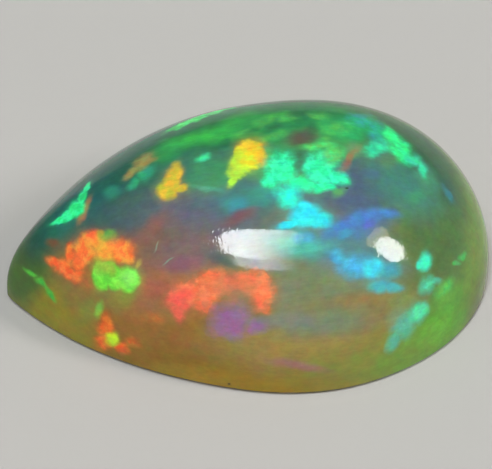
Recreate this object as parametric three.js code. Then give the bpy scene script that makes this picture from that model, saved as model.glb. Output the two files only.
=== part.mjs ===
// A pear-shaped opal cabochon: one polished stone with a flat back, a narrow girdle and a high dome.
// Millimetres, +Z up. The origin is in the middle of the flat back. The tip points to -X and the round head to +X.
import * as THREE from "three";

// The stone as a caliper would read it
const LENGTH = 15;
const WIDTH = 10;
const HEIGHT = 5;

// The pear outline, measured from its widest point
const HEAD_REACH = 5.8;
const TIP_REACH = LENGTH - HEAD_REACH;
const TIP_ROUND = 0.4;

// The bevel that protects the edge of the back, and the upright girdle above it
const BEVEL_HEIGHT = 0.12;
const BEVEL_INSET = 0.1;
const GIRDLE_HEIGHT = 0.1;

// The dome. A power of 2 would make it an ellipse in section, and more makes its shoulders fuller.
const DOME_POWER = 2.2;
const TOP_SHIFT = -1.7; // top of the dome from the widest point of the outline
const TOP_ROUNDNESS = 0.97; // tip radius over half width at the top, where 1 is a full round
const RIDGE_FADE = 1.2; // how slowly the ridge that runs up from the tip softens

// The outline was ground by hand, so it wavers by about a tenth of a millimetre.
const HAND_CUT_WAVES = [
  { lobes: 3, share: 0.0149, turn: 110 },
  { lobes: 4, share: 0.0055, turn: -155 },
  { lobes: 5, share: 0.0074, turn: -135 },
];

// Facets: points round each ring, drawn closer together towards the tip, and rings up the dome
const POINTS_ROUND = 96;
const RINGS_UP = 26;
const TIP_CROWDING = 1.5;

const OPAL = { color: 0x87854e, roughness: 0.12, metalness: 0 };

// Angles round a ring: 0 at the head, PI at the tip, negative on the near side.
function ringAngles() {
  const angles = [];
  for (let i = 0; i < POINTS_ROUND; i++) {
    const turn = i / POINTS_ROUND;
    const towardsTip = 2 * Math.min(turn, 1 - turn);
    const angle = Math.PI * (1 - (1 - towardsTip) ** TIP_CROWDING);
    angles.push(turn <= 0.5 ? angle : -angle);
  }
  return angles;
}

// How far a pear reaches from its widest point: half an ellipse at the head, then two arcs that are
// tangent to it along the sides, and a small arc that rounds the tip.
function pearReach(angle, halfWidth, headReach, tipReach, tipRound) {
  const tipCentre = tipReach - tipRound;
  const sideRadius = (tipCentre ** 2 + halfWidth ** 2 - tipRound ** 2) / (2 * (halfWidth - tipRound));
  const sideOffset = sideRadius - halfWidth;
  const meeting = sideRadius / (sideRadius - tipRound);
  const tipStart = Math.atan2(sideOffset * (meeting - 1), -tipCentre * meeting);
  const cos = Math.cos(angle);
  const sin = Math.abs(Math.sin(angle));
  if (Math.abs(angle) <= Math.PI / 2) {
    return 1 / Math.hypot(cos / headReach, sin / halfWidth);
  }
  if (Math.abs(angle) < tipStart) {
    return Math.sqrt(sideRadius ** 2 - (sideOffset * cos) ** 2) - sideOffset * sin;
  }
  return Math.sqrt(Math.max(tipRound ** 2 - (tipCentre * sin) ** 2, 0)) - tipCentre * cos;
}

function handCut(angle) {
  let share = 1;
  for (const wave of HAND_CUT_WAVES) {
    share += wave.share * Math.cos(wave.lobes * angle - THREE.MathUtils.degToRad(wave.turn));
  }
  return share;
}

// One level ring of the dome. Its scale is 1 at the girdle and falls to 0 at the top, and as it
// falls the ring moves to the top of the dome, its tip rounds off and the hand-cut waves die out.
function domeRing(scale, height) {
  const tipShare = TIP_ROUND / (WIDTH / 2);
  const rounding = tipShare + (TOP_ROUNDNESS - tipShare) * (1 - scale) ** RIDGE_FADE;
  const halfWidth = (scale * WIDTH) / 2;
  return ringAngles().map((angle) => {
    const pear = pearReach(angle, halfWidth, scale * HEAD_REACH, scale * TIP_REACH, rounding * halfWidth);
    const reach = pear * (1 + (handCut(angle) - 1) * scale);
    const x = TOP_SHIFT * (1 - scale) + reach * Math.cos(angle);
    return new THREE.Vector3(x, reach * Math.sin(angle), height);
  });
}

// All the rings from the back up: the back, the girdle's lower edge and the dome.
function stoneRings() {
  const wallTop = BEVEL_HEIGHT + GIRDLE_HEIGHT;
  const inset = 1 - BEVEL_INSET / (WIDTH / 2);
  const back = domeRing(1, 0).map((point) => point.multiplyScalar(inset));
  const rings = [back, domeRing(1, BEVEL_HEIGHT)];
  for (let i = 0; i < RINGS_UP; i++) {
    const climb = (i / RINGS_UP) * (Math.PI / 2);
    const scale = Math.cos(climb) ** (2 / DOME_POWER);
    const rise = Math.sin(climb) ** (2 / DOME_POWER);
    rings.push(domeRing(scale, wallTop + rise * (HEIGHT - wallTop)));
  }
  return rings;
}

// The waves change the outline's reach a little, so it is stretched back to the stated length and
// width, and its middle is moved over the origin.
function fitToSize(points, girdle) {
  const box = new THREE.Box3().setFromPoints(girdle);
  const middle = box.getCenter(new THREE.Vector3()).setZ(0);
  const size = box.getSize(new THREE.Vector3());
  const stretch = new THREE.Vector3(LENGTH / size.x, WIDTH / size.y, 1);
  points.forEach((point) => point.sub(middle).multiply(stretch));
}

function stoneGeometry() {
  const rings = stoneRings();
  const backCentre = new THREE.Vector3(TOP_SHIFT, 0, 0);
  const top = new THREE.Vector3(TOP_SHIFT, 0, HEIGHT);
  const points = [...rings.flat(), backCentre, top];
  fitToSize(points, rings[1].map((point) => point.clone()));

  const backIndex = points.indexOf(backCentre);
  const topIndex = points.indexOf(top);
  const lastRing = (rings.length - 1) * POINTS_ROUND;
  const triangles = [];
  for (let i = 0; i < POINTS_ROUND; i++) {
    const next = (i + 1) % POINTS_ROUND;
    triangles.push(backIndex, next, i);
    triangles.push(topIndex, lastRing + i, lastRing + next);
    for (let ring = 0; ring < lastRing; ring += POINTS_ROUND) {
      const above = ring + POINTS_ROUND;
      triangles.push(ring + i, ring + next, above + next);
      triangles.push(ring + i, above + next, above + i);
    }
  }
  const geometry = new THREE.BufferGeometry().setFromPoints(points).setIndex(triangles);
  geometry.computeVertexNormals();
  return geometry;
}

const stone = new THREE.Mesh(stoneGeometry(), new THREE.MeshStandardMaterial(OPAL));
stone.name = "opal_cabochon";

const opal = new THREE.Group();
opal.add(stone);

export default opal;
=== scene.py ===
import math
from typing import NamedTuple

import bpy
from mathutils import Matrix, Vector


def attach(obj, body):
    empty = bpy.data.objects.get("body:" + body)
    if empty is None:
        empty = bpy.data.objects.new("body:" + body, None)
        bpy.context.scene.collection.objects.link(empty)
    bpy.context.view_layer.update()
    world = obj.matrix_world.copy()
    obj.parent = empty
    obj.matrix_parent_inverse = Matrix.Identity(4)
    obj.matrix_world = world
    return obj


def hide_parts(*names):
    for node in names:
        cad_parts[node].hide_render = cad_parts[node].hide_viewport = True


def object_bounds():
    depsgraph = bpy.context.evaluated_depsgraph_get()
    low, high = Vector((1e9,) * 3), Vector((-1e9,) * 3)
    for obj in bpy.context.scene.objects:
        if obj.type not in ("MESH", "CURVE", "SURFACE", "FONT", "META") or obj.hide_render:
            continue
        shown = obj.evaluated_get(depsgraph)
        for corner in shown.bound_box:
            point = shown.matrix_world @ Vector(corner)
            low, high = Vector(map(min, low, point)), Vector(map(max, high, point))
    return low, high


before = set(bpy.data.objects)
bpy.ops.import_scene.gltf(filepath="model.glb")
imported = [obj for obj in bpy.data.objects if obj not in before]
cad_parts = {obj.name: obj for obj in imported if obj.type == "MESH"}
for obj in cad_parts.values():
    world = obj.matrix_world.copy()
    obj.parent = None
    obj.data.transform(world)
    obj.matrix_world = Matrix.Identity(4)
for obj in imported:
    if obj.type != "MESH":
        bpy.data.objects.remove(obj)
cad_low, cad_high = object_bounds()

MM = 0.001

# The photograph's frame in pixels, and how its camera stands to the stone
PHOTO_WIDTH = 492
PHOTO_HEIGHT = 469
CAMERA_AZIMUTH = math.radians(-7.7)
CAMERA_ELEVATION = math.radians(49)
CAMERA_DISTANCE = 100 * MM
CAMERA_TARGET = Vector((-0.064, 0.177, 1.645)) * MM
FIELD_WIDTH = 15.09 * MM
SENSOR_WIDTH = 36
NEAREST_SEEN = 1 * MM
FARTHEST_SEEN = 5
PIXEL = FIELD_WIDTH / PHOTO_WIDTH

# The skin: the crease at the edges of the back, where 1 stays sharp, the columns of quads that fill
# a loop, how often the skin is subdivided, and the angle from which an edge is shaded sharp. Points
# less than a hair apart are one point, and the back's faces point down.
EDGE_SHARPNESS = 0.75
GRID_SPAN = 24
SKIN_LEVELS = 2
SHARP_ANGLE = math.radians(30)
HAIR = 0.001 * MM
POINTS_DOWN = -0.999

# The studio
ROOM_COLOUR = "e8e8e6"
ROOM_LIGHT = 0.3
BACKDROP_LIGHT = 0.7
PAPER_COLOUR = "a6a4a0"
PAPER_SIZE = 2
PAPER_DROP = 0.01 * MM
PANEL_CORNERS = 64

# Noise that moves the outlines of the patches: its waves per millimetre, how far it moves a place
# in millimetres, and its detail
DRIFT = {"scale": 0.7, "reach": 0.6, "detail": 2}
RAGGED = {"scale": 1.5, "reach": 0.34, "detail": 1.4}
CALM = {"scale": 2.2, "reach": 0.2, "detail": 2}

# The blocks of the deep flashes, about 0.3 mm wide, and how much they square an outline
CELL_SCALE = 3.4
BLOCKINESS = 0.2

# The grains in which a flash takes its two colours, about 0.3 mm wide
GRAINS = {"Scale": 3.6, "Detail": 3}
GRAIN_LIMITS = (0.38, 0.62)

# The tears in a flash, about 0.25 mm wide, which shrink it here and swell it there
TEARS = {"Scale": 4, "Detail": 2, "Roughness": 0.6}
TEAR_LIMITS = {"From Min": 0.3, "From Max": 0.7, "To Min": 0.84, "To Max": 1.14}

# The lines of flow in the body, up to 0.5 mm long, how much longer than wide they are, and how they
# shade the colour
FLOW = {"Scale": 2, "Detail": 6, "Roughness": 0.75}
FLOW_STRETCH = 4
FLOW_LIMITS = {"From Min": 0.3, "From Max": 0.7, "To Min": 0.78, "To Max": 0.96}

# The soft grains of every hue, up to 0.4 mm wide, and how strongly they tint
HUES = {"Scale": 2.5, "Detail": 4, "Roughness": 0.6}
HUE_STRENGTH = 0.35

# How strongly a colour glows from its brightness: a painted glow, as the stone is no lamp
PAINTED_GLOW_LIMITS = {"From Min": 0.24, "From Max": 0.74, "To Min": 0.04, "To Max": 0.4}

# The lines that polishing left: waves per millimetre, the part of a wave that rises to a ridge, their
# run from the X axis, how much longer than wide they are, and their depth. Real ones are too fine to
# show, so these are drawn about 0.07 mm wide.
LINE_SCALE = 15
LINE_LIMITS = (0.48, 0.7)
LINE_TURN = math.radians(75)
LINE_STRETCH = 3
LINE_DEPTH = 0.0005 * MM

# The patches: how deep in millimetres they reach at least, at the rim, where darker tints are
# painted shade, and in the streak on it, the softness of a dim one, and the faint halo round a flash
PATCH_DEPTH = 2.0
RIM_SHADE_DEPTH = 0.8
STREAK_DEPTH = 0.5
HAZE_EDGE = 0.75
HALO_REACH = 0.9
HALO_STRENGTH = 0.22

# A place on a hidden side is looked for from this far outside, through a line that runs along the
# middle of the stone at this height
OUTSIDE = 20 * MM
LINE_HEIGHT = cad_high.z / 3


class Seen(NamedTuple):
    """A place on the side that the photograph shows, as a pixel of it."""

    across: float
    down: float


class Round(NamedTuple):
    """A place on any side, seen from a compass bearing and a height, both in degrees, through a
    point of a line along the stone, which is given in millimetres from the middle."""

    along: float
    azimuth: float
    elevation: float


class Lobe(NamedTuple):
    """One oval of a patch: its place, its half length and half width in millimetres as it is
    seen from there, its turn in degrees from level, and how deep it reaches in millimetres. With
    no depth stated it is as deep as it is long, and PATCH_DEPTH at least."""

    at: tuple
    size: tuple
    turn: float = 0
    depth: float = 0


class Patch(NamedTuple):
    """A patch of colour in the stone: two colours that its grains take, or one alone where the
    second is empty, its lobes, the softness of its edge as a share of their size, and how fully it
    covers what lies under it."""

    name: str
    colour: str
    second: str
    lobes: list
    edge: float = 0.3
    strength: float = 1.0


def tint(name, colour, at, size, turn=0, edge=0.6, strength=1.0, depth=0):
    """A wide soft change of the body colour."""
    return Patch(name, colour, "", [Lobe(at, size, turn, depth)], edge, strength)


def haze(name, colour, at, size, turn, strength):
    """A dim flash that lies deep."""
    return Patch(name, colour, "", [Lobe(at, size, turn)], HAZE_EDGE, strength)


# The honey colour of the body, and the patches in the order in which they are laid over it
BODY = "8a7a3e"

TINTS = [
    # The sides that the photograph hides
    tint("teal of the far side", "3f8a66", Round(-1.5, 180, 35), (4.2, 1.5), 0, 0.6),
    tint("olive head", "7c9440", Round(4, 90, 25), (3.6, 2.0), 0, 0.7),
    tint("green tip behind", "547838", Round(-5, 225, 20), (2.0, 1.4), 0, 0.7),
    # The lower side, from the tip to the head. Its warm tints are partly the body's own colour and
    # partly a painted glow of the light that passes through the stone
    tint("honey lower side with painted glow", "94701e", Seen(190, 366), (4.2, 1.2), -12, 0.5),
    tint("golden low edge with painted glow", "a4821c", Seen(250, 386), (3.4, 0.5), -4, 0.6),
    tint("olive under the tip", "968e1a", Seen(46, 312), (1.7, 0.8), -34, 0.6),
    tint("olive below the fire", "8a8c34", Seen(104, 300), (0.9, 0.5), -10, 0.8, 1.0),
    tint("ochre below the crown", "9c7030", Seen(150, 322), (2.2, 0.8), -8, 0.6),
    tint("sand below the middle", "9c8848", Seen(290, 352), (2.4, 0.7), -4, 0.6),
    tint("pale ochre lower right", "888e3e", Seen(362, 366), (2.0, 0.7), 8, 0.6),
    tint("leaf green of the head", "5fa02c", Seen(444, 322), (1.8, 1.0), 44, 0.6),
    tint("green low right", "74983c", Seen(410, 356), (1.2, 0.5), 28, 0.6),
    # The tip and the far left
    tint("green tip", "466c26", Seen(22, 272), (1.4, 0.8), 62, 0.5),
    tint("dark green above the tip", "30503c", Seen(44, 226), (1.2, 0.6), 52, 0.6),
    # Painted shade: a darker green along the thin left edge
    tint("deep green left edge with painted shade", "1c5f48", Seen(66, 202), (1.5, 0.5), 46, 0.6, 1.0, RIM_SHADE_DEPTH),
    tint("petrol of the far left", "20605e", Seen(110, 192), (2.3, 1.0), 34, 0.6),
    tint("petrol further up", "1f5a50", Seen(150, 158), (2.2, 0.7), 32, 0.6),
    tint("jade far left top", "207046", Seen(215, 140), (2.6, 0.7), 20, 0.6),
    tint("jade far top", "207848", Seen(325, 122), (3.4, 0.9), 0, 0.6),
    tint("green between the flashes", "3c7460", Seen(215, 170), (2.0, 0.6), 8, 0.6),
    tint("green under the far top", "3a7a58", Seen(310, 158), (2.2, 0.6), 0, 0.6),
    # The crown
    tint("grey green left of the crown", "3c5e58", Seen(130, 214), (1.6, 0.7), 22, 0.6),
    tint("slate crown", "5c6470", Seen(205, 222), (2.2, 1.0), 3, 0.6),
    tint("teal haze of the crown", "447874", Seen(258, 196), (1.5, 0.6), 0, 0.7),
    tint("rose brown of the crown", "7e6450", Seen(140, 262), (1.6, 0.8), 30, 0.7),
    tint("mauve brown of the crown", "7a6864", Seen(190, 256), (1.2, 0.6), 10, 0.7),
    tint("terracotta haze", "a06e4c", Seen(155, 290), (1.2, 0.7), 0, 0.7),
    tint("slate by the cluster", "4c6072", Seen(362, 190), (1.8, 1.1), 0, 0.6),
    tint("dusky green under the cyan", "5c8078", Seen(330, 244), (2.2, 0.7), 0, 0.6),
    tint("grey green middle", "76805e", Seen(318, 284), (2.8, 0.7), -2, 0.6),
    # The head
    tint("grey green of the head", "527042", Seen(440, 226), (1.7, 2.3), 0, 0.6),
    tint("teal green above the head", "437e70", Seen(408, 178), (1.3, 1.0), -40, 0.6),
    tint("green above the head", "36604a", Seen(432, 160), (2.2, 0.8), -46, 0.6),
    # Painted shade: darker tints along the rim of the head and the far edges
    tint("olive head rim with painted shade", "565a24", Seen(484, 270), (2.2, 0.42), 80, 0.7, 0.9, RIM_SHADE_DEPTH),
    tint("painted shade of the head edge", "4c6634", Seen(487, 215), (2.2, 0.3), 105, 0.9, 0.7, RIM_SHADE_DEPTH),
    tint("painted shade of the edge above the head", "38623e", Seen(442, 138), (3.4, 0.3), -38, 0.9, 0.7, RIM_SHADE_DEPTH),
    tint("painted shade of the far top edge", "1c6440", Seen(310, 100), (4.6, 0.2), 0, 0.9, 0.8, RIM_SHADE_DEPTH),
    tint("painted shade of the far left edge", "1c5e50", Seen(118, 152), (4.6, 0.2), 35, 0.9, 0.8, RIM_SHADE_DEPTH),
    # Bands of flow in the lower right
    tint("rust band", "8e7848", Seen(368, 300), (1.2, 0.24), 5, 0.8, 0.85),
    tint("moss beside the rust band", "7c8c54", Seen(404, 300), (0.5, 0.3), 6, 0.8, 0.9),
    tint("grey green band", "76856c", Seen(322, 322), (1.4, 0.4), 2, 0.8, 0.9),
    # The hidden sides below the far edge, last because they cover the depth of the tints above
    tint("sea green of the far side", "479a70", Round(-1.5, 182, 5), (5.0, 0.9), 0, 0.7, 1.0, 1.2),
    tint("leaf green of the far head", "6c9c48", Round(3.4, 155, 4), (2.6, 1.0), 0, 0.8, 1.0, 1.4),
    tint("green foot of the head", "74983c", Round(4, 95, -4), (3.6, 1.0), 0, 0.8, 0.9, 1.6),
    # Lighter and warmer than the body, a painted glow where the far side gets little light
    tint("honey foot of the far side with painted glow", "a4903a", Round(0, 180, -14), (7.0, 0.8), 0, 0.8, 1.0, 1.6),
]

HAZES = [
    # Round the fire and the crown
    haze("olive beside the small green", "90903c", Seen(121, 301), (0.32, 0.24), 0, 0.8),
    haze("faint olive", "8aa040", Seen(86, 312), (0.22, 0.34), 0, 0.5),
    haze("green band left", "2f9c50", Seen(171, 149), (0.66, 0.3), 26, 0.95),
    haze("green band middle", "36b24a", Seen(200, 138), (0.75, 0.26), 14, 0.9),
    haze("green band right", "33a84a", Seen(232, 128), (0.62, 0.26), 34, 0.9),
    haze("teal haze on the left", "2d9474", Seen(112, 193), (0.22, 0.2), 0, 0.6),
    haze("teal above the star", "1f7460", Seen(60, 232), (0.5, 0.2), 30, 0.5),
    haze("faint green oval", "429a5c", Seen(212, 177), (0.62, 0.42), 10, 0.6),
    haze("teal spot", "3f9098", Seen(236, 205), (0.38, 0.26), 10, 0.85),
    haze("teal left of the turquoise", "3f9888", Seen(266, 194), (0.5, 0.3), 10, 0.7),
    haze("dim red of the crown", "7c5058", Seen(240, 219), (0.6, 0.16), 18, 0.75),
    haze("red brown streak", "8c5c54", Seen(149, 230), (0.7, 0.2), 42, 0.7),
    haze("grey under the highlight", "7a8484", Seen(256, 262), (0.95, 0.2), -10, 0.8),
    haze("dark teal under the highlight", "4c625e", Seen(222, 260), (0.34, 0.14), -28, 0.75),
    haze("magenta haze", "8c5a70", Seen(182, 264), (0.6, 0.22), 0, 0.7),
    haze("rose haze", "a86450", Seen(156, 287), (0.6, 0.3), 0, 0.6),
    haze("red under the fire", "9c5a3c", Seen(92, 262), (1.1, 0.7), 20, 0.55),
    haze("grey blue haze", "84887e", Seen(284, 322), (0.9, 0.2), -3, 0.8),
    haze("faint pink streak", "a46c70", Seen(300, 366), (0.8, 0.13), -12, 0.75),
    # The far top
    haze("green top one", "2f9c4c", Seen(254, 124), (0.5, 0.3), 20, 0.8),
    haze("green top two", "38aa4c", Seen(281, 117), (0.4, 0.14), 0, 0.8),
    haze("green top three", "2e9450", Seen(280, 132), (0.6, 0.3), 10, 0.8),
    haze("green top four", "2c9c54", Seen(320, 128), (0.4, 0.4), 10, 0.8),
    haze("green top five", "1f8a48", Seen(334, 112), (0.4, 0.2), 0, 0.8),
    haze("green top six", "2ab062", Seen(347, 130), (0.65, 0.34), 8, 0.9),
    haze("green round the cluster", "2fa464", Seen(268, 160), (0.6, 0.5), 0, 0.7),
    haze("green beyond the cluster", "40a050", Seen(322, 148), (0.9, 0.3), 0, 0.8),
    haze("rose dark spot", "5c5048", Seen(302, 138), (0.40, 0.26), 0, 0.9),
    haze("dark gap in the cluster", "40604c", Seen(300, 155), (0.36, 0.18), 30, 0.8),
    # The head and the lower right
    haze("teal by the curve", "4c9070", Seen(428, 181), (0.42, 0.3), -50, 0.8),
    haze("pale green by the streak", "74986c", Seen(352, 148), (0.3, 0.2), 20, 0.7),
    haze("green leaf haze", "60a840", Seen(447, 299), (0.5, 0.3), 60, 0.7),
    haze("grey green right of the bar", "80886c", Seen(284, 302), (0.5, 0.5), 0, 0.6),
    haze("violet blue haze", "56628c", Seen(358, 202), (0.5, 0.26), 0, 0.35),
    haze("violet blue fleck", "4c6a94", Seen(372, 174), (0.26, 0.16), 0, 0.4),
    haze("teal below the cyan", "50b4a0", Seen(302, 243), (0.85, 0.34), 0, 0.85),
    haze("blue round the streak", "4a78a8", Seen(356, 226), (0.95, 0.34), 14, 0.7),
    haze("blue round the low blue", "4a8ca0", Seen(364, 264), (1.1, 0.45), -8, 0.7),
    haze("haze beside the diagonal", "7aa07c", Seen(398, 318), (0.36, 0.3), 40, 0.6),
    haze("dim green spot", "45906a", Seen(416, 197), (0.28, 0.24), 0, 0.75),
    haze("leaf light", "68b03a", Seen(438, 330), (0.6, 0.3), 50, 0.6),
    # The body's gold, brightened along the low edge by a painted glow of light through the stone
    haze("gold low left with painted glow", "a08c2c", Seen(70, 326), (0.7, 0.2), -32, 0.6),
    haze("gold low middle with painted glow", "a88426", Seen(205, 376), (1.6, 0.2), -8, 0.6),
]

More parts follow.
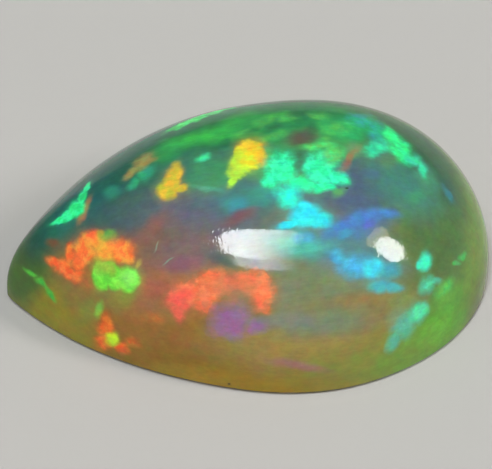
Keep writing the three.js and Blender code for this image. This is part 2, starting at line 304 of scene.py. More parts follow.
FLASHES = [
    # The tip and the fire beside it
    Patch("salmon streak", "a9744f", "a08050", [Lobe(Seen(84, 211), (0.44, 0.10), 63)], 0.55, 0.85),
    Patch("dull orange", "b8663a", "a87838", [
        Lobe(Seen(88, 280), (0.24, 0.30), 15),
        Lobe(Seen(80, 258), (0.3, 0.26), 30),
    ], 0.7, 0.75),
    Patch("orange star", "de5c2a", "e07838", [
        Lobe(Seen(54, 262), (0.28, 0.14), -20),
        Lobe(Seen(64, 267), (0.30, 0.26), 0),
        Lobe(Seen(70, 255), (0.34, 0.13), 80),
        Lobe(Seen(72, 274), (0.32, 0.24), -25),
        Lobe(Seen(79, 264), (0.24, 0.20), 40),
    ], 0.5),
    Patch("dim red spot", "8a4a34", "7c5838", [Lobe(Seen(53, 243), (0.2, 0.14))], 0.6, 0.75),
    Patch("orange mass", "e06834", "e08e40", [
        Lobe(Seen(85, 252), (0.40, 0.34), 50),
        Lobe(Seen(93, 242), (0.36, 0.32)),
        Lobe(Seen(105, 249), (0.34, 0.34)),
        Lobe(Seen(121, 250), (0.42, 0.35), -15),
        Lobe(Seen(128, 256), (0.22, 0.22)),
    ], 0.5),
    Patch("yellow of the fire", "dc9838", "d8a83c", [Lobe(Seen(103, 248), (0.34, 0.24), 20)], 0.8, 0.85),
    Patch("green wisp", "48b050", "70b048", [Lobe(Seen(108, 237), (0.28, 0.15), 20)], 0.6, 0.7),
    Patch("yellow green joint", "b8a838", "98b038", [Lobe(Seen(100, 236), (0.12, 0.12))], 0.6, 0.6),
    Patch("pale wisp", "a8a860", "c0a050", [Lobe(Seen(138, 263), (0.16, 0.07), 60)], 0.6, 0.7),
    Patch("green dash by the tip", "40b83c", "58c03c", [
        Lobe(Seen(32, 272), (0.22, 0.07), -32),
        Lobe(Seen(41, 282), (0.26, 0.10), -48),
        Lobe(Seen(50, 293), (0.24, 0.10), -50),
    ], 0.6),
    Patch("small green", "8ac840", "7cc048", [Lobe(Seen(99, 310), (0.12, 0.24), -10)], 0.55, 0.95),
    Patch("low orange", "de5a1c", "e07424", [
        Lobe(Seen(106, 326), (0.22, 0.32)),
        Lobe(Seen(104, 341), (0.26, 0.26)),
        Lobe(Seen(119, 347), (0.20, 0.15)),
    ], 0.6, 0.95),
    Patch("low lime", "c4e020", "b4dc28", [Lobe(Seen(112, 339), (0.18, 0.22), -20)], 0.5),
    Patch("low dull orange", "cc6028", "c07830", [
        Lobe(Seen(132, 342), (0.24, 0.17)),
        Lobe(Seen(124, 352), (0.16, 0.12)),
    ], 0.7, 0.95),
    Patch("faint orange", "bc6a2e", "b07438", [Lobe(Seen(153, 318), (0.36, 0.16), -5)], 0.7, 0.95),
    # The far left
    Patch("salmon diagonal", "a08c50", "989c58", [
        Lobe(Seen(131, 173), (0.30, 0.13), 30),
        Lobe(Seen(143, 163), (0.36, 0.20), 42),
    ], 0.55, 0.9),
    Patch("green under the diagonal", "2eb074", "2ea880", [
        Lobe(Seen(146, 175), (0.30, 0.16), 40),
        Lobe(Seen(134, 184), (0.24, 0.12), 40),
    ], 0.7, 0.75),
    Patch("dull top of the crumb", "c4a838", "c0b03c", [Lobe(Seen(176, 170), (0.26, 0.16), 60)], 0.6, 0.9),
    Patch("mint fleck", "3ccc88", "3cc498", [Lobe(Seen(202, 157), (0.20, 0.12), 30)], 0.6),
    Patch("teal edge of the oval", "58b090", "4ca088", [Lobe(Seen(208, 189), (0.46, 0.08), -8)], 0.7, 0.6),
    # The yellow drop
    Patch("drop tail", "a0d63c", "aad03c", [
        Lobe(Seen(243, 165), (0.32, 0.28), 50),
        Lobe(Seen(238, 173), (0.30, 0.22), 50),
        Lobe(Seen(233, 181), (0.24, 0.13), 52),
    ], 0.5, 0.95),
    Patch("yellow drop", "d2c028", "c4d034", [
        Lobe(Seen(250, 155), (0.47, 0.45), 45),
        Lobe(Seen(242, 153), (0.28, 0.26), 0),
    ], 0.35),
    Patch("orange of the drop", "d89c28", "d4ac2c", [
        Lobe(Seen(252, 145), (0.36, 0.16), 5),
        Lobe(Seen(260, 155), (0.15, 0.30), 10),
    ], 0.8, 0.85),
    Patch("lime edge of the drop", "a4cc38", "b0c838", [Lobe(Seen(235, 160), (0.13, 0.26), -15)], 0.8, 0.9),
    # The mint cluster
    Patch("mint cluster", "2ad290", "38dfa6", [
        Lobe(Seen(281, 169), (0.50, 0.46), 20),
        Lobe(Seen(272, 178), (0.32, 0.22), 20),
        Lobe(Seen(300, 184), (0.54, 0.22), -6),
        Lobe(Seen(320, 171), (0.54, 0.58), -20),
        Lobe(Seen(336, 178), (0.36, 0.24), -14),
        Lobe(Seen(324, 188), (0.38, 0.17), 0),
    ], 0.5),
    Patch("yellow green corner", "48d272", "60c060", [
        Lobe(Seen(334, 155), (0.32, 0.26), 45),
        Lobe(Seen(318, 146), (0.5, 0.1), 4),
    ], 0.7, 0.85),
    Patch("green joint", "2ad884", "2cd488", [Lobe(Seen(300, 183), (0.36, 0.18), -10)], 0.7, 0.8),
    Patch("cluster notch", "3c8058", "44785c", [Lobe(Seen(299, 164), (0.26, 0.12), 50)], 0.6, 0.85),
    Patch("olive end of the cluster", "58b060", "60a860", [Lobe(Seen(339, 194), (0.2, 0.12), 30)], 0.7, 0.8),
    Patch("dark speck", "1c3a28", "1c3a28", [Lobe(Seen(346, 189), (0.05, 0.03))], 0.5, 0.9),
    Patch("dark speck on the low edge", "2c2c14", "2c2c14", [Lobe(Seen(230, 384), (0.04, 0.03))], 0.5, 0.9),
    Patch("fibres of the far top", "44b058", "5cb850", [
        Lobe(Seen(243, 133), (0.30, 0.10), 30),
        Lobe(Seen(264, 121), (0.34, 0.12), 25),
        Lobe(Seen(286, 117), (0.34, 0.10), 10),
        Lobe(Seen(274, 136), (0.34, 0.11), 18),
        Lobe(Seen(318, 116), (0.30, 0.09), -4),
        Lobe(Seen(334, 128), (0.44, 0.18), 6),
        Lobe(Seen(322, 141), (0.30, 0.10), 20),
    ], 0.8, 0.6),
    Patch("gaps of the far top", "22603c", "2a6048", [
        Lobe(Seen(253, 129), (0.24, 0.08), 28),
        Lobe(Seen(272, 127), (0.26, 0.08), 18),
        Lobe(Seen(298, 114), (0.30, 0.07), 2),
        Lobe(Seen(312, 129), (0.20, 0.16), 60),
        Lobe(Seen(224, 143), (0.26, 0.08), 24),
    ], 0.8, 0.55),
    Patch("pale mark", "8c9c84", "849c88", [
        Lobe(Seen(157, 247), (0.14, 0.03), 62),
        Lobe(Seen(169, 261), (0.16, 0.03), 25),
    ], 0.6, 0.7),
    Patch("orange red streak", "a8604a", "98704c", [Lobe(Seen(350, 159), (0.38, 0.12), 55)], 0.7, 0.7),
    Patch("turquoise lobe", "2cdabc", "34d4b0", [Lobe(Seen(288, 196), (0.38, 0.32), -30)], 0.6),
    Patch("blue below the cyan", "4a9ac0", "50a8b8", [Lobe(Seen(303, 238), (0.26, 0.16), 0)], 0.7, 0.85),
    # The blues
    Patch("blue streak", "4678bc", "4480b4", [
        Lobe(Seen(343, 227), (0.46, 0.18), 24),
        Lobe(Seen(365, 217), (0.56, 0.2), 14),
        Lobe(Seen(386, 214), (0.36, 0.13), -6),
    ], 0.8, 0.9),
    Patch("violet bit", "5c5cb0", "5064b0", [Lobe(Seen(368, 223), (0.22, 0.12), 10)], 0.7, 0.6),
    Patch("cyan crumb", "4898b0", "4494b4", [Lobe(Seen(346, 235), (0.27, 0.14), 30)], 0.6, 0.9),
    Patch("low blue", "449ec0", "46a8cc", [
        Lobe(Seen(341, 258), (0.38, 0.17), -28),
        Lobe(Seen(352, 266), (0.42, 0.27), -10),
    ], 0.75, 0.95),
    Patch("low cyan", "3ecad4", "3cbccc", [Lobe(Seen(373, 267), (0.30, 0.29), 0)], 0.6),
    Patch("low teal blue", "48b0b4", "44a4ac", [Lobe(Seen(389, 270), (0.32, 0.22), 0)], 0.7, 0.9),
    Patch("teal fleck", "4cc098", "50b48c", [
        Lobe(Seen(428, 286), (0.22, 0.24), 20),
        Lobe(Seen(435, 283), (0.18, 0.12), 20),
    ], 0.65, 0.9),
    Patch("green leaf", "4cb458", "60b84c", [Lobe(Seen(445, 287), (0.36, 0.14), 50)], 0.6, 0.85),
    Patch("green specks", "38b850", "50b060", [
        Lobe(Seen(462, 256), (0.14, 0.09), 30),
        Lobe(Seen(456, 262), (0.09, 0.07), 0),
    ], 0.6, 0.85),
    Patch("teal diagonal", "50b494", "58b49c", [
        Lobe(Seen(416, 314), (0.36, 0.27), 50),
        Lobe(Seen(405, 327), (0.46, 0.27), 50),
        Lobe(Seen(395, 341), (0.34, 0.17), 55),
    ], 0.6, 0.9),
    Patch("mint head of the diagonal", "48d090", "50c898", [
        Lobe(Seen(419, 311), (0.28, 0.18), 50),
    ], 0.7, 0.9),
    # The far right
    Patch("teal blue arc", "24ac7c", "30a89c", [
        Lobe(Seen(362, 121), (0.4, 0.2), -10),
        Lobe(Seen(377, 132), (0.40, 0.26), -60),
    ], 0.7, 0.95),
    Patch("mint of the arc", "2ed09a", "34c490", [Lobe(Seen(377, 148), (0.40, 0.24), 12)], 0.65, 0.95),
    Patch("green curve", "2cdc84", "30d478", [
        Lobe(Seen(393, 138), (0.38, 0.2), -50),
        Lobe(Seen(401, 151), (0.36, 0.28), -50),
    ], 0.55),
    Patch("teal end of the curve", "30c894", "38c4a0", [
        Lobe(Seen(413, 160), (0.26, 0.18), -20),
        Lobe(Seen(422, 169), (0.30, 0.13), -62),
    ], 0.6, 0.9),
    Patch("olive fleck", "6a8c48", "608c50", [Lobe(Seen(388, 162), (0.26, 0.16), 10)], 0.8, 0.4),
    Patch("blue teal fleck", "3f8a90", "458078", [Lobe(Seen(449, 195), (0.28, 0.1), -58)], 0.6, 0.8),
]

HIDDEN = [
    # Guessed flashes where the photograph does not look
    Patch("far side mint", "30d488", "38e0b0", [
        Lobe(Round(-2.0, 180, 5), (0.60, 0.30), 22),
        Lobe(Round(-1.5, 180, 8), (0.52, 0.42), -15),
        Lobe(Round(-1.0, 180, 5), (0.50, 0.22), 10),
        Lobe(Round(-1.8, 180, 1), (0.40, 0.20), -40),
    ], 0.5),
    Patch("far side turquoise", "2ccad2", "34d4b0", [
        Lobe(Round(-0.5, 180, 11), (0.64, 0.18), 30),
        Lobe(Round(0.0, 180, 14), (0.46, 0.26), 12),
    ], 0.6, 0.9),
    Patch("far side orange", "ee6430", "e88a3c", [
        Lobe(Round(1.6, 178, 2), (0.62, 0.28), -12),
        Lobe(Round(2.1, 176, 5), (0.48, 0.36), 25),
        Lobe(Round(1.2, 180, -2), (0.36, 0.18), 20),
    ], 0.5),
    Patch("far side yellow", "dcc02c", "b8d434", [
        Lobe(Round(-3.3, 188, 6), (0.50, 0.20), 28),
        Lobe(Round(-3.0, 186, 9), (0.34, 0.24), 60),
    ], 0.5),
    Patch("far side blue", "3f78cc", "3c98d4", [
        Lobe(Round(3.6, 160, 6), (0.70, 0.20), 14),
        Lobe(Round(3.0, 165, 9), (0.44, 0.22), -10),
    ], 0.7, 0.9),
    Patch("far side green", "34c060", "58bc44", [
        Lobe(Round(-4.1, 194, 3), (0.58, 0.14), 18),
        Lobe(Round(-4.7, 200, 1), (0.40, 0.12), 26),
    ], 0.6, 0.9),
    Patch("far side violet", "9070a4", "84709c", [Lobe(Round(0.3, 180, -4), (0.56, 0.28), 6)], 0.75, 0.8),
    Patch("far side lime", "5cc060", "8cc048", [
        Lobe(Round(2.5, 172, 0), (0.42, 0.24), 10),
        Lobe(Round(2.8, 170, 3), (0.26, 0.22), 40),
    ], 0.6, 0.9),
    Patch("head teal", "34c4a0", "40b488", [Lobe(Round(4.2, 128, 6), (0.42, 0.24), 24)], 0.55, 0.9),
    Patch("head green", "50b04c", "74b044", [Lobe(Round(4.6, 100, -8), (0.6, 0.2), -12)], 0.7, 0.85),
    Patch("head orange", "c87034", "b88838", [Lobe(Round(4.4, 112, -2), (0.3, 0.2), 10)], 0.6, 0.85),
    Patch("back green", "6cb850", "50a860", [
        Lobe(Round(2.2, 0, -89), (0.9, 0.5), 20),
        Lobe(Round(1.0, 0, -89), (0.5, 0.4), -30),
    ], 0.6, 0.8),
    Patch("back orange", "d87838", "c88840", [Lobe(Round(-2.2, 0, -89), (0.8, 0.4), -15)], 0.6, 0.8),
    Patch("back teal", "4cb09c", "58a88c", [Lobe(Round(-0.4, 0, -80), (0.6, 0.3), 40)], 0.6, 0.75),
]

# Flashes whose outlines are smooth
SMOOTH = [
    Patch("green crescent", "26cc72", "32d890", [
        Lobe(Seen(61, 220), (0.34, 0.09), 22),
        Lobe(Seen(69, 215), (0.30, 0.15), 34),
        Lobe(Seen(76, 209), (0.28, 0.22), 52),
        Lobe(Seen(82, 198), (0.28, 0.12), 62),
        Lobe(Seen(87, 188), (0.22, 0.08), 62),
    ], 0.35),
    Patch("rim streak", "24c458", "2cdc68", [
        Lobe(Seen(180, 126), (0.44, 0.08), 27, STREAK_DEPTH),
        Lobe(Seen(196, 119), (0.52, 0.10), 23, STREAK_DEPTH),
        Lobe(Seen(212, 113), (0.52, 0.08), 19, STREAK_DEPTH),
        Lobe(Seen(226, 109), (0.36, 0.05), 15, STREAK_DEPTH),
    ], 0.4),
    Patch("lime pair", "66cc3c", "7cd848", [
        Lobe(Seen(101, 277), (0.28, 0.44), 6),
        Lobe(Seen(108, 270), (0.34, 0.26), 0),
        Lobe(Seen(116, 278), (0.34, 0.38), 0),
        Lobe(Seen(127, 279), (0.36, 0.40), 10),
    ], 0.3),
    Patch("olive top of the lime", "98ac40", "a4b048", [
        Lobe(Seen(103, 267), (0.30, 0.18), -10),
        Lobe(Seen(112, 268), (0.12, 0.22), 0),
    ], 0.8, 0.7),
    Patch("mint heart", "80dc64", "84dc60", [Lobe(Seen(129, 278), (0.24, 0.26))], 0.8, 0.85),
    Patch("yellow crumb", "b8b038", "cca434", [
        Lobe(Seen(167, 191), (0.33, 0.29), 20),
        Lobe(Seen(172, 183), (0.28, 0.32), -20),
        Lobe(Seen(176, 175), (0.19, 0.24), -25),
        Lobe(Seen(180, 188), (0.24, 0.13), 5),
    ], 0.35, 1.0),
    Patch("cyan patch", "2cc4cc", "34ccd2", [
        Lobe(Seen(305, 216), (0.50, 0.36), 8),
        Lobe(Seen(319, 220), (0.42, 0.26), -6),
        Lobe(Seen(305, 208), (0.24, 0.20), 0),
        Lobe(Seen(291, 224), (0.44, 0.14), 16),
    ], 0.4),
    Patch("teal dot", "3cd0a0", "40ccb0", [
        Lobe(Seen(425, 262), (0.18, 0.27), -14),
        Lobe(Seen(420, 265), (0.12, 0.12), 0),
    ], 0.5),
    Patch("cyan bar", "48b0b0", "44a8b4", [
        Lobe(Seen(380, 286), (0.32, 0.18), 4),
        Lobe(Seen(393, 287), (0.30, 0.15), -10),
    ], 0.55, 0.9),
]

# Flashes that lie deeper, with soft blocky outlines
MOSAIC = [
    Patch("coral bar", "dc6a46", "de7a50", [
        Lobe(Seen(189, 294), (0.52, 0.42), 30),
        Lobe(Seen(204, 290), (0.50, 0.52), 0),
        Lobe(Seen(213, 279), (0.34, 0.32), 20),
        Lobe(Seen(250, 283), (0.38, 0.36), 0),
        Lobe(Seen(262, 290), (0.38, 0.50), 0),
    ], 0.4, 0.95),
    Patch("pink coral", "dc5a4c", "d8604e", [
        Lobe(Seen(180, 299), (0.34, 0.42), -5),
        Lobe(Seen(177, 312), (0.20, 0.28), 5),
    ], 0.5, 0.95),
    Patch("coral link", "cc704c", "c87450", [Lobe(Seen(234, 283), (0.72, 0.32), 0)], 0.5, 0.9),
    Patch("coral foot", "d86a48", "c87050", [
        Lobe(Seen(264, 308), (0.22, 0.18), 0),
        Lobe(Seen(204, 305), (0.34, 0.2), 0),
    ], 0.6, 0.8),
    Patch("coral gap", "a8765a", "a07c5c", [Lobe(Seen(236, 297), (0.36, 0.26), 0)], 0.7, 0.85),
    Patch("violet", "a068a0", "9470a0", [
        Lobe(Seen(231, 322), (0.58, 0.46), 5),
        Lobe(Seen(258, 326), (0.28, 0.2), 0),
    ], 0.7, 0.9),
]


def linear(hex_colour):
    """An sRGB hex colour as the linear RGBA that Blender's sockets take."""
    channels = [int(hex_colour[i : i + 2], 16) / 255 for i in (0, 2, 4)]
    return [c / 12.92 if c <= 0.04045 else ((c + 0.055) / 1.055) ** 2.4 for c in channels] + [1]


def view_axes(azimuth, elevation):
    """The right, up and backward directions of a viewer at that bearing and height."""
    back = Vector(
        (
            math.sin(azimuth) * math.cos(elevation),
            -math.cos(azimuth) * math.cos(elevation),
            math.sin(elevation),
        )
    )
    right = Vector((math.cos(azimuth), math.sin(azimuth), 0))
    return right, back.cross(right), back


def make_camera():
    """The camera stands to the stone as the photograph's did."""
    right, up, back = view_axes(CAMERA_AZIMUTH, CAMERA_ELEVATION)
    data = bpy.data.cameras.new("camera")
    data.sensor_width = SENSOR_WIDTH
    data.lens = SENSOR_WIDTH * CAMERA_DISTANCE / FIELD_WIDTH
    data.clip_start = NEAREST_SEEN
    data.clip_end = FARTHEST_SEEN
    camera = bpy.data.objects.new("camera", data)
    turned = Matrix((right, up, back)).transposed().to_4x4()
    camera.matrix_world = Matrix.Translation(CAMERA_TARGET + back * CAMERA_DISTANCE) @ turned
    bpy.context.scene.collection.objects.link(camera)
    bpy.context.scene.camera = camera


# The stone's skin


def select_where(piece, kind, chosen):
    """Selects the vertices, edges or faces that chosen accepts, in edit mode."""
    bpy.ops.mesh.select_all(action="DESELECT")
    bpy.ops.mesh.select_mode(type=kind)
    bpy.ops.object.mode_set(mode="OBJECT")
    mesh = piece.data
    elements = {"VERT": mesh.vertices, "EDGE": mesh.edges, "FACE": mesh.polygons}[kind]
    for element in elements:
        element.select = chosen(element)
    bpy.ops.object.mode_set(mode="EDIT")


def fill_with_quads():
    """Fills the selected loop with a grid of quads, so that no pole of many edges is left."""
    bpy.ops.mesh.fill_grid(span=GRID_SPAN, use_interp_simple=True)


def make_stone():
    """The polished skin: a copy of the CAD solid, its facets joined to quads and then subdivided."""
    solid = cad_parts["opal_cabochon"]
    stone = bpy.data.objects.new("polished_opal", solid.data.copy())
    bpy.context.scene.collection.objects.link(stone)
    stone.data.materials.clear()
    bpy.ops.object.select_all(action="DESELECT")
    stone.select_set(True)
    bpy.context.view_layer.objects.active = stone
    bpy.ops.object.mode_set(mode="EDIT")
    bpy.ops.mesh.select_all(action="SELECT")
    bpy.ops.mesh.remove_doubles(threshold=HAIR)

    # The fans of triangles that close the back and the top are taken off, the rest are joined to
    # quads, and both holes are filled with quads
    select_where(stone, "FACE", lambda face: face.normal.z < POINTS_DOWN)
    bpy.ops.mesh.delete(type="ONLY_FACE")
    select_where(stone, "VERT", lambda vertex: vertex.co.z > cad_high.z - HAIR)
    bpy.ops.mesh.delete(type="VERT")
    bpy.ops.mesh.select_all(action="SELECT")
    bpy.ops.mesh.delete_loose(use_verts=True, use_edges=True, use_faces=False)
    bpy.ops.mesh.select_all(action="SELECT")
    bpy.ops.mesh.tris_convert_to_quads(
        face_threshold=math.pi, shape_threshold=math.pi, topology_influence=1
    )
    bpy.ops.object.mode_set(mode="OBJECT")
    mesh = stone.data
    levels = sorted({round(vertex.co.z / HAIR) for vertex in mesh.vertices})
    back, bevel_top = levels[0] * HAIR, levels[1] * HAIR
    crown = levels[-1] * HAIR

    def level_edge(height):
        return lambda edge: all(abs(mesh.vertices[i].co.z - height) < HAIR for i in edge.vertices)

    bpy.ops.object.mode_set(mode="EDIT")
    for height in (back, bevel_top):
        select_where(stone, "EDGE", level_edge(height))
        bpy.ops.transform.edge_crease(value=EDGE_SHARPNESS)
    for height in (back, crown):
        select_where(stone, "EDGE", level_edge(height))
        fill_with_quads()
    bpy.ops.mesh.select_all(action="SELECT")
    bpy.ops.mesh.normals_make_consistent(inside=False)
    bpy.ops.object.mode_set(mode="OBJECT")
    smooth = stone.modifiers.new("smooth skin", "SUBSURF")
    smooth.levels = SKIN_LEVELS
    smooth.render_levels = SKIN_LEVELS
    bpy.ops.object.modifier_apply(modifier=smooth.name)
    bpy.ops.object.shade_smooth_by_angle(angle=SHARP_ANGLE)
    return stone


# Where the patches lie


def lay_lobe(stone, lobe):
    """Finds where a lobe lies on the stone, in millimetres, and how its oval is turned."""
    if isinstance(lobe.at, Seen):
        right, up, back = view_axes(CAMERA_AZIMUTH, CAMERA_ELEVATION)
        sideways = (lobe.at.across - PHOTO_WIDTH / 2) * PIXEL
        upwards = (PHOTO_HEIGHT / 2 - lobe.at.down) * PIXEL
        eye = CAMERA_TARGET + back * CAMERA_DISTANCE
        aim = (CAMERA_TARGET + right * sideways + up * upwards - eye).normalized()
    else:
        right, up, back = view_axes(math.radians(lobe.at.azimuth), math.radians(lobe.at.elevation))
        middle = Vector((lobe.at.along * MM, 0, LINE_HEIGHT))
        eye = middle + back * OUTSIDE
        aim = -back
    found, place, _, _ = stone.ray_cast(eye, aim)
    if not found:
        # A line of sight that passes the stone by takes the nearest point of its skin
        nearest = stone.closest_point_on_mesh(eye + aim * (CAMERA_TARGET - eye).dot(aim))
        place = nearest[1]
    turned = Matrix((right, up, back)).transposed() @ Matrix.Rotation(math.radians(lobe.turn), 3, "Z")
    depth = lobe.depth or max(PATCH_DEPTH, *lobe.size)
    return place / MM, turned.to_euler(), (*lobe.size, depth)


# The opal


def add(tree, kind, inputs=None, **settings):
    """Adds one node with its settings, and gives its inputs values or other nodes' outputs."""
    made = tree.nodes.new("ShaderNode" + kind)
    for name, value in settings.items():
        setattr(made, name, value)
    for key, value in (inputs or {}).items():
        if isinstance(value, bpy.types.NodeSocket):
            tree.links.new(value, made.inputs[key])
        else:
            made.inputs[key].default_value = value
    return made


def shifted(tree, place, scale, reach, detail):
    """A place moved by noise: scale in waves per millimetre, reach in millimetres."""
    waves = {"Vector": place, "Scale": scale, "Detail": detail}
    noise = add(tree, "TexNoise", waves).outputs["Color"]
    offset = add(tree, "VectorMath", {0: noise, 1: (0.5, 0.5, 0.5)}, operation="SUBTRACT").outputs[0]
    moved = {0: offset, 1: (reach, reach, reach), 2: place}
    return add(tree, "VectorMath", moved, operation="MULTIPLY_ADD").outputs[0]


def blend(tree, value, low, high, strength):
    """Rises smoothly from 0 at low to strength at high. No range in the opal is clamped, because a
    clamp takes memory that Cycles needs for the many patches."""
    limits = {"Value": value, "From Min": low, "From Max": high, "To Min": 0, "To Max": strength}
    made = add(tree, "MapRange", limits, interpolation_type="SMOOTHSTEP", clamp=False)
    return made.outputs["Result"]


def patch_mask(tree, stone, patch, place, tears):
    """How much of a patch shows, from 0 outside to its strength inside. A spherical gradient,
    stretched to the oval, falls from 1 in the middle of each lobe to 0 at the end of its reach."""
    reach = HALO_REACH if patch.second else patch.edge
    inside = None
    for lobe in patch.lobes:
        middle, turned, size = lay_lobe(stone, lobe)
        oval = add(tree, "TexGradient", {"Vector": place}, gradient_type="SPHERICAL")
        oval.texture_mapping.vector_type = "TEXTURE"
        oval.texture_mapping.translation = middle
        oval.texture_mapping.rotation = turned
        oval.texture_mapping.scale = [half * (1 + reach) for half in size]
        if inside is None:
            inside = oval.outputs["Fac"]
        else:
            joined = {0: inside, 1: oval.outputs["Fac"]}
            inside = add(tree, "Math", joined, operation="MAXIMUM").outputs[0]
    outer = 1 - (1 + patch.edge) / (1 + reach)
    inner = 1 - (1 - patch.edge) / (1 + reach)
    if not patch.second:
        return blend(tree, inside, outer, inner, patch.strength)
    torn = inside
    if tears is not None:
        torn = add(tree, "Math", {0: inside, 1: tears}, operation="MULTIPLY").outputs[0]
    core = blend(tree, torn, outer, inner, patch.strength)
    halo = blend(tree, inside, 0, inner, HALO_STRENGTH * patch.strength)
    return add(tree, "Math", {0: core, 1: halo}, operation="MAXIMUM").outputs[0]


def opal_material(stone):
    """Precious opal, hydrophane, ground to a dome and polished by hand. The eye sees a glassy skin
    over a milky honey body, with sharp and soft flashes of spectral colour. An IOR of 1.4 is that
    of hydrophane opal, and some light scatters inside it, red the farthest."""
    material = bpy.data.materials.new("polished_precious_opal")
    material.use_nodes = True
    tree = material.node_tree
    shader = tree.nodes["Principled BSDF"]
    place = add(
        tree,
        "VectorMath",
        {0: add(tree, "TexCoord").outputs["Object"], 1: (1 / MM, 1 / MM, 1 / MM)},
        operation="MULTIPLY",
    ).outputs[0]
    drift = shifted(tree, place, **DRIFT)
    ragged = shifted(tree, place, **RAGGED)
    cells = add(tree, "TexVoronoi", {"Vector": ragged, "Scale": CELL_SCALE}).outputs["Position"]
    calm = shifted(tree, place, **CALM)
    squared = {0: BLOCKINESS, 4: ragged, 5: cells}
    blocky = add(tree, "Mix", squared, data_type="VECTOR").outputs[1]
    shades = add(tree, "TexNoise", {"Vector": ragged, **GRAINS}).outputs["Fac"]
    shade = blend(tree, shades, *GRAIN_LIMITS, strength=1)
    noise = add(tree, "TexNoise", {"Vector": place, **TEARS}).outputs["Fac"]
    tears = add(tree, "MapRange", {"Value": noise, **TEAR_LIMITS}, clamp=False).outputs["Result"]

    colour = linear(BODY)
    layers = (
        (TINTS + HAZES, drift, tears),
        (FLASHES + HIDDEN, ragged, tears),
        (SMOOTH, calm, None),
        (MOSAIC, blocky, tears),
    )
    for patches, field, torn_by in layers:
        for patch in patches:
            mask = patch_mask(tree, stone, patch, field, torn_by)
            own = linear(patch.colour)
            if patch.second:
                mixed = {0: shade, 6: own, 7: linear(patch.second)}
                own = add(tree, "Mix", mixed, data_type="RGBA").outputs[2]
            laid = {0: mask, 6: colour, 7: own}
            colour = add(tree, "Mix", laid, data_type="RGBA", label=patch.name).outputs[2]

    # Faint lines of flow run along the stone
    flow = add(tree, "TexNoise", {"Vector": place, **FLOW})
    flow.texture_mapping.scale = (1, FLOW_STRETCH, FLOW_STRETCH)
    limits = {"Value": flow.outputs["Fac"], **FLOW_LIMITS}
    lines = add(tree, "MapRange", limits, clamp=False).outputs["Result"]
    shaded = {0: 1, 6: colour, 7: lines}
    colour = add(tree, "Mix", shaded, data_type="RGBA", blend_type="MULTIPLY").outputs[2]

    # Soft grains of every hue are scattered through it
    hues = add(tree, "TexNoise", {"Vector": place, **HUES}).outputs["Color"]
    mottled = {0: HUE_STRENGTH, 6: colour, 7: hues}
    colour = add(tree, "Mix", mottled, data_type="RGBA", blend_type="OVERLAY").outputs[2]

    # The brighter a colour is, the more light it gives off: a painted glow, as the stone is no lamp
    brightness = add(tree, "SeparateColor", {"Color": colour}, mode="HSV").outputs[2]
    painted_glow = add(
        tree,
        "MapRange",
        {"Value": brightness, **PAINTED_GLOW_LIMITS},
        interpolation_type="SMOOTHSTEP",
        clamp=False,
    ).outputs["Result"]
    tree.links.new(colour, shader.inputs["Base Color"])
    tree.links.new(colour, shader.inputs["Emission Color"])
    tree.links.new(painted_glow, shader.inputs["Emission Strength"])

    # The polish left fine lines all one way
    polish = add(tree, "TexNoise", {"Vector": place, "Scale": LINE_SCALE, "Detail": 0})
    polish.texture_mapping.vector_type = "TEXTURE"
    polish.texture_mapping.rotation = (0, 0, LINE_TURN)
    polish.texture_mapping.scale = (LINE_STRETCH, 1, 1)
    ridges = blend(tree, polish.outputs["Fac"], *LINE_LIMITS, strength=1)
    scratched = {"Height": ridges, "Strength": 1, "Distance": LINE_DEPTH}
    tree.links.new(add(tree, "Bump", scratched).outputs["Normal"], shader.inputs["Normal"])

    shader.inputs["Roughness"].default_value = 0.04
    shader.inputs["IOR"].default_value = 1.4
    shader.inputs["Subsurface Weight"].default_value = 0.6
    shader.inputs["Subsurface Scale"].default_value = 1.5 * MM
    shader.inputs["Subsurface Radius"].default_value = (1, 0.8, 0.5)
    return material


# The studio


def make_floor():
    """A wide sheet of matt pale paper, just below the stone."""
    bpy.ops.object.select_all(action="DESELECT")
    bpy.ops.mesh.primitive_plane_add(size=PAPER_SIZE, location=(0, 0, -PAPER_DROP))
    floor = bpy.context.object
    floor.name = "floor"
    material = bpy.data.materials.new("matt_pale_paper")
    material.use_nodes = True
    shader = material.node_tree.nodes["Principled BSDF"]
    shader.inputs["Base Color"].default_value = linear(PAPER_COLOUR)
    shader.inputs["Roughness"].default_value = 0.9
    floor.data.materials.append(material)


class Panel(NamedTuple):
    """A level glowing panel above the stone, which the polish mirrors: its middle and its two half
    axes in metres, how square its outline is, its colour, its radiance, and the places along the
    first axis, from -1 to 1, between which it dims to nothing."""

    name: str
    middle: tuple
    across: tuple
    along: tuple
    squareness: float
    colour: str
    radiance: float
    fade: tuple = (1, 2)


# What their mirror images give: the long highlight, the dim band below it, the round highlight on
# the head, and its cream corner
PANELS = [
    Panel(
        "key_panel", (-0.060, -0.345, 0.987), (0.240, 0), (-0.090, -0.232), 3, "f0f4f7", 29, (-0.45, 0.90)
    ),
    Panel(
        "dim_panel", (-0.100, -0.665, 0.988), (0.245, 0), (-0.030, -0.125), 4, "f4f6f0", 10, (-0.15, 0.85)
    ),
    Panel("side_lamp", (0.935, -0.333, 0.788), (0.246, -0.176), (0.084, 0.106), 2.5, "fcf8fa", 26),
    Panel("cream_lamp", (0.676, -0.135, 0.790), (0.100, 0), (0.020, 0.140), 2.3, "f0dcac", 7),
]


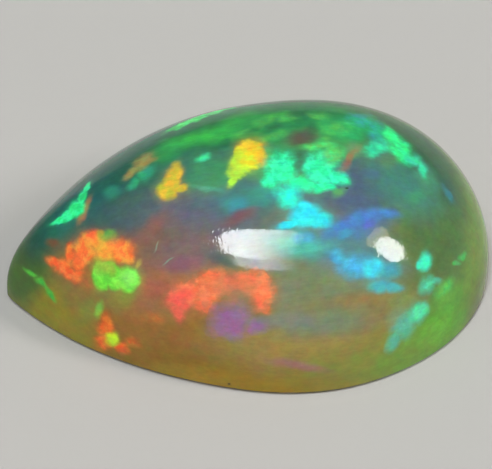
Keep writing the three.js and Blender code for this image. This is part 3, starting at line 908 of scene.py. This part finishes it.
def make_panel(panel):
    """A disc, squared off to a superellipse and stretched to the panel's two half axes."""
    bpy.ops.object.select_all(action="DESELECT")
    bpy.ops.mesh.primitive_circle_add(vertices=PANEL_CORNERS, radius=1, fill_type="NGON")
    piece = bpy.context.object
    piece.name = panel.name
    mesh = piece.data
    run = mesh.attributes.new("run", "FLOAT", "POINT")
    power = panel.squareness
    for vertex, value in zip(mesh.vertices, run.data):
        reach = (abs(vertex.co.x) ** power + abs(vertex.co.y) ** power) ** (-1 / power)
        vertex.co *= reach
        value.value = vertex.co.x
    x, y, z = panel.middle
    mesh.transform(
        Matrix(
            (
                (panel.across[0], panel.along[0], 0, x),
                (panel.across[1], panel.along[1], 0, y),
                (0, 0, 1, z),
                (0, 0, 0, 1),
            )
        )
    )
    material = bpy.data.materials.new(panel.name)
    material.use_nodes = True
    tree = material.node_tree
    tree.nodes.clear()
    along = add(tree, "Attribute", attribute_name="run").outputs["Fac"]
    bright, dark = panel.fade
    limits = {"Value": along, "From Min": bright, "From Max": dark, "To Min": panel.radiance, "To Max": 0}
    strength = add(tree, "MapRange", limits).outputs["Result"]
    light = add(tree, "Emission", {"Color": linear(panel.colour), "Strength": strength})
    output = add(tree, "OutputMaterial")
    tree.links.new(light.outputs[0], output.inputs["Surface"])
    mesh.materials.append(material)
    piece.visible_camera = False


def make_world():
    """A dim white room, which the camera sees as a pale backdrop."""
    world = bpy.data.worlds.new("studio")
    world.use_nodes = True
    tree = world.node_tree
    background = tree.nodes["Background"]
    background.inputs["Color"].default_value = linear(ROOM_COLOUR)
    seen = add(tree, "LightPath").outputs["Is Camera Ray"]
    strength = add(tree, "MapRange", {"Value": seen, "To Min": ROOM_LIGHT, "To Max": BACKDROP_LIGHT})
    tree.links.new(strength.outputs["Result"], background.inputs["Strength"])
    bpy.context.scene.world = world
    bpy.context.scene.view_settings.view_transform = "Standard"


make_camera()
stone = make_stone()
stone.data.materials.append(opal_material(stone))
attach(stone, "root")
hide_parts("opal_cabochon")
make_floor()
for panel in PANELS:
    make_panel(panel)
make_world()

bpy.context.view_layer.update()
